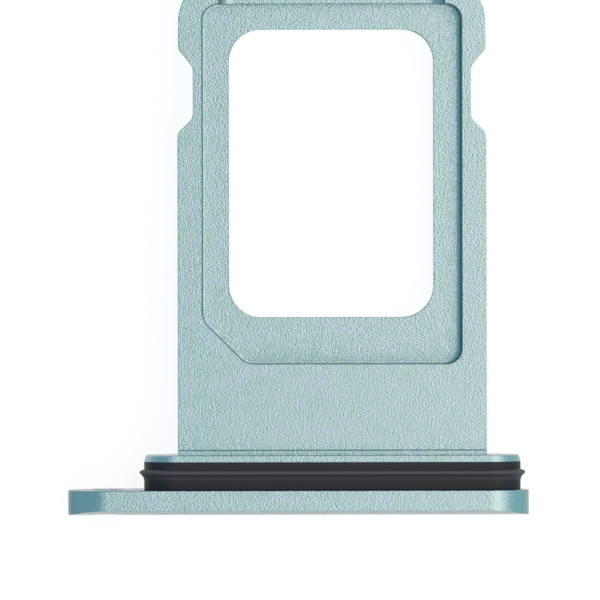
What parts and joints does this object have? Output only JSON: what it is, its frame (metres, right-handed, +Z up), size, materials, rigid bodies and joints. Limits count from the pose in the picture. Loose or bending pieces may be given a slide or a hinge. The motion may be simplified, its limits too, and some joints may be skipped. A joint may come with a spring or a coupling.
{
  "type": "sim card tray",
  "caption": "Flat metal tray with a keyed pocket for a nano SIM card, a round-ended face plate with an eject-pin hole, and a rubber gasket round its plug.",
  "frame": {"origin": "under the middle of the tray, on the surface that it lies on", "axes": "+X along the face plate, away from the eject hole; +Y the way the tray goes into the phone; +Z up, out of the card pocket"},
  "size_m": [0.0158, 0.0186, 0.0027],
  "materials": {
    "anodised_aluminium": "fine bead blast, pale mint anodised",
    "silicone_rubber": "matt moulded silicone"
  },
  "bodies": {
    "root": {"tray": "anodised_aluminium", "gasket": "silicone_rubber"}
  },
  "joints": []
}
